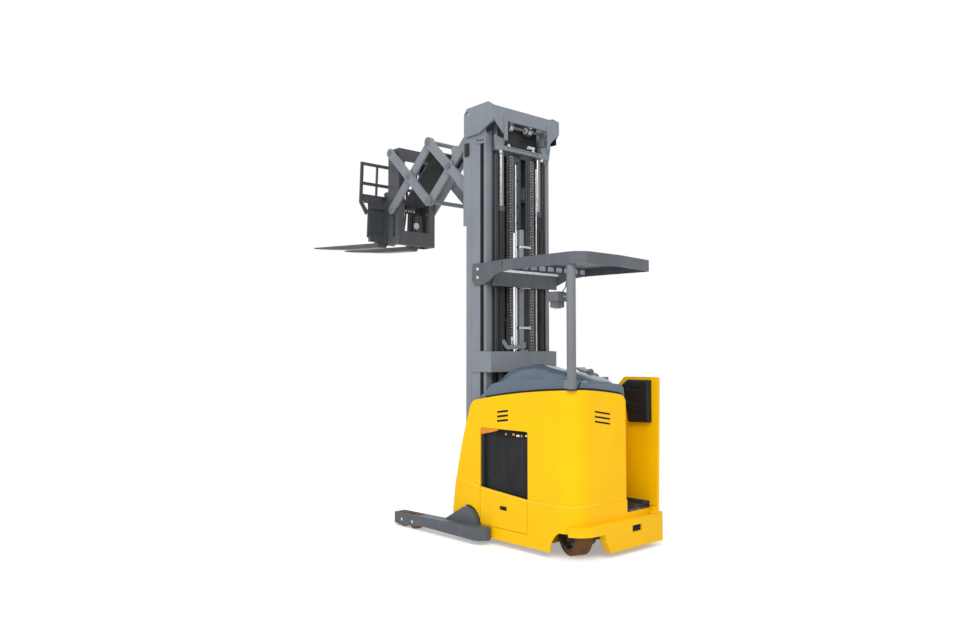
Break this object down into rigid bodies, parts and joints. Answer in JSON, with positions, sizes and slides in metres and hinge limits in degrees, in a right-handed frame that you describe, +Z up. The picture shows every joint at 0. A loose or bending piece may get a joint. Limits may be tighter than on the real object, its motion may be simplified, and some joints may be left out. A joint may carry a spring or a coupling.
{
  "type": "reach truck",
  "caption": "Stand-up reach truck: boxy rear body with side-stance operator bay, tall telescopic mast, pantograph arms carrying forks, straddle legs.",
  "frame": {"origin": "on the floor, under the middle of the truck's overall length and width", "axes": "+X towards the fork tips, +Y to the truck's left, +Z up"},
  "size_m": [4.1036, 1.2, 3.65],
  "materials": {
    "truck_yellow": "gloss yellow enamel",
    "mast_grey": "satin grey enamel",
    "frame_black": "black enamel",
    "hood_plastic": "dark blue-grey moulded plastic",
    "rod_chrome": "ground hard chrome",
    "pad_vinyl": "black vinyl over foam",
    "mat_rubber": "ribbed rubber",
    "tyre_poly": "brown polyurethane",
    "hub_black": "black cast iron",
    "battery_case": "dark painted case",
    "lamp_plastic": "black plastic"
  },
  "bodies": {
    "chassis": {"chassis_frame": "frame_black", "left_leg": "mast_grey", "right_leg": "mast_grey", "body_shell": "truck_yellow", "right_skin": "truck_yellow", "battery": "battery_case", "left_battery_gate": "truck_yellow", "right_battery_gate": "truck_yellow", "rear_bumper": "truck_yellow", "right_side_panel": "truck_yellow", "floor_mat": "mat_rubber", "back_pad": "pad_vinyl", "lower_hood": "hood_plastic", "upper_hood": "hood_plastic", "control_handle": "lamp_plastic", "overhead_guard": "mast_grey", "guard_post": "mast_grey", "work_light": "lamp_plastic", "outer_rail_left": "mast_grey", "outer_rail_right": "mast_grey", "mast_crown": "mast_grey", "crown_plate_left": "mast_grey", "crown_plate_right": "mast_grey", "mast_brace": "mast_grey", "lift_barrels": "frame_black", "drive_motor": "hub_black"},
    "drive_unit": {"drive_gearbox": "hub_black"},
    "drive_wheel": {"drive_tyre": "tyre_poly", "drive_hub": "hub_black"},
    "caster": {"caster_fork": "hub_black"},
    "caster_wheel_pair": {"caster_wheels": "tyre_poly"},
    "load_wheel_lf": {"load_wheel_left_front": "tyre_poly"},
    "load_wheel_lr": {"load_wheel_left_rear": "tyre_poly"},
    "load_wheel_rf": {"load_wheel_right_front": "tyre_poly"},
    "load_wheel_rr": {"load_wheel_right_rear": "tyre_poly"},
    "middle_mast": {"mid_rail_left": "mast_grey", "mid_rail_right": "mast_grey", "mid_top_member": "mast_grey", "mid_foot_member": "mast_grey", "lift_rods": "rod_chrome", "hose_channel": "mast_grey"},
    "inner_mast": {"inner_rail_left": "mast_grey", "inner_rail_right": "mast_grey", "inner_top_member": "mast_grey", "inner_foot_member": "mast_grey", "free_lift_barrel": "frame_black"},
    "free_lift": {"free_lift_rod": "rod_chrome"},
    "carriage": {"lift_carriage": "mast_grey"},
    "rear_drive": {"rear_drive_link": "mast_grey"},
    "rear_cross": {"rear_cross_link": "mast_grey"},
    "front_drive": {"front_drive_link": "mast_grey"},
    "front_cross": {"front_cross_link": "mast_grey"},
    "reach_head": {"front_frame": "mast_grey"},
    "reach_barrel": {"reach_barrels": "frame_black"},
    "reach_rod": {"reach_rods": "rod_chrome"},
    "forks": {"fork_carriage": "frame_black", "load_backrest": "frame_black", "left_fork": "frame_black", "right_fork": "frame_black"}
  },
  "joints": [
    {"name": "drive_steer", "type": "hinge", "parent": "chassis", "child": "drive_unit", "pos_m": [-1.76184, 0.231, 0.44], "axis": [0, 0, 1], "range_deg": [-70, 110]},
    {"name": "drive_roll", "type": "hinge", "parent": "drive_unit", "child": "drive_wheel", "pos_m": [-1.76184, 0.231, 0.165], "axis": [0.342, 0.9397, 0], "continuous": true},
    {"name": "caster_swivel", "type": "hinge", "parent": "chassis", "child": "caster", "pos_m": [-1.79884, -0.3, 0.285], "axis": [0, 0, 1], "continuous": true},
    {"name": "caster_roll", "type": "hinge", "parent": "caster", "child": "caster_wheel_pair", "pos_m": [-1.84384, -0.3, 0.089], "axis": [0, 1, 0], "continuous": true},
    {"name": "load_roll_lf", "type": "hinge", "parent": "chassis", "child": "load_wheel_lf", "pos_m": [-0.05584, 0.5425, 0.0635], "axis": [0, 1, 0], "continuous": true},
    {"name": "load_roll_lr", "type": "hinge", "parent": "chassis", "child": "load_wheel_lr", "pos_m": [-0.20584, 0.5425, 0.0635], "axis": [0, 1, 0], "continuous": true},
    {"name": "load_roll_rf", "type": "hinge", "parent": "chassis", "child": "load_wheel_rf", "pos_m": [-0.05584, -0.5425, 0.0635], "axis": [0, 1, 0], "continuous": true},
    {"name": "load_roll_rr", "type": "hinge", "parent": "chassis", "child": "load_wheel_rr", "pos_m": [-0.20584, -0.5425, 0.0635], "axis": [0, 1, 0], "continuous": true},
    {"name": "mast_lift", "type": "slide", "parent": "chassis", "child": "middle_mast", "axis": [0, 0, 1], "range_m": [0, 2.4]},
    {"name": "inner_lift", "type": "slide", "parent": "middle_mast", "child": "inner_mast", "axis": [0, 0, 1], "range_m": [0, 2.4]},
    {"name": "carriage_lift", "type": "slide", "parent": "inner_mast", "child": "carriage", "axis": [0, 0, 1], "range_m": [-2.55, 0]},
    {"name": "free_lift_rod", "type": "slide", "parent": "inner_mast", "child": "free_lift", "axis": [0, 0, 1], "range_m": [-1.275, 0]},
    {"name": "reach", "type": "hinge", "parent": "carriage", "child": "rear_drive", "pos_m": [-0.60384, 0, 3.51], "axis": [0, -1, 0], "range_deg": [-34, 4]},
    {"name": "rear_cross_pivot", "type": "hinge", "parent": "rear_drive", "child": "rear_cross", "pos_m": [-0.30398, 0, 3.23038], "axis": [0, -1, 0], "range_deg": [-8, 68]},
    {"name": "middle_pivot", "type": "hinge", "parent": "rear_drive", "child": "front_drive", "pos_m": [-0.00413, 0, 2.95076], "axis": [0, -1, 0], "range_deg": [-8, 68]},
    {"name": "front_cross_pivot", "type": "hinge", "parent": "front_drive", "child": "front_cross", "pos_m": [0.29573, 0, 3.23038], "axis": [0, -1, 0], "range_deg": [-68, 8]},
    {"name": "front_pivot", "type": "hinge", "parent": "front_drive", "child": "reach_head", "pos_m": [0.59558, 0, 3.51], "axis": [0, -1, 0], "range_deg": [-34, 4]},
    {"name": "reach_cylinder_pivot", "type": "hinge", "parent": "carriage", "child": "reach_barrel", "pos_m": [-0.58384, 0, 2.7], "axis": [0, -1, 0], "range_deg": [-1.2, 8.2]},
    {"name": "reach_cylinder_slide", "type": "slide", "parent": "reach_barrel", "child": "reach_rod", "axis": [0.3971, 0, 0.9178], "range_m": [-0.1836, 0.0234]},
    {"name": "fork_tilt", "type": "hinge", "parent": "reach_head", "child": "forks", "pos_m": [0.74358, 0, 3.12], "axis": [0, -1, 0], "range_deg": [-5, 1]}
  ],
  "couplings": [
    {"joint": "inner_lift", "follows": "mast_lift", "ratio": 1},
    {"joint": "free_lift_rod", "follows": "carriage_lift", "ratio": 0.5},
    {"joint": "rear_cross_pivot", "follows": "reach", "ratio": -2},
    {"joint": "middle_pivot", "follows": "reach", "ratio": -2},
    {"joint": "front_cross_pivot", "follows": "reach", "ratio": 2},
    {"joint": "front_pivot", "follows": "reach", "ratio": 1},
    {"joint": "reach_cylinder_pivot", "follows": "reach", "ratio": -0.231},
    {"joint": "reach_cylinder_slide", "follows": "reach", "m_per_rad": 0.306}
  ]
}
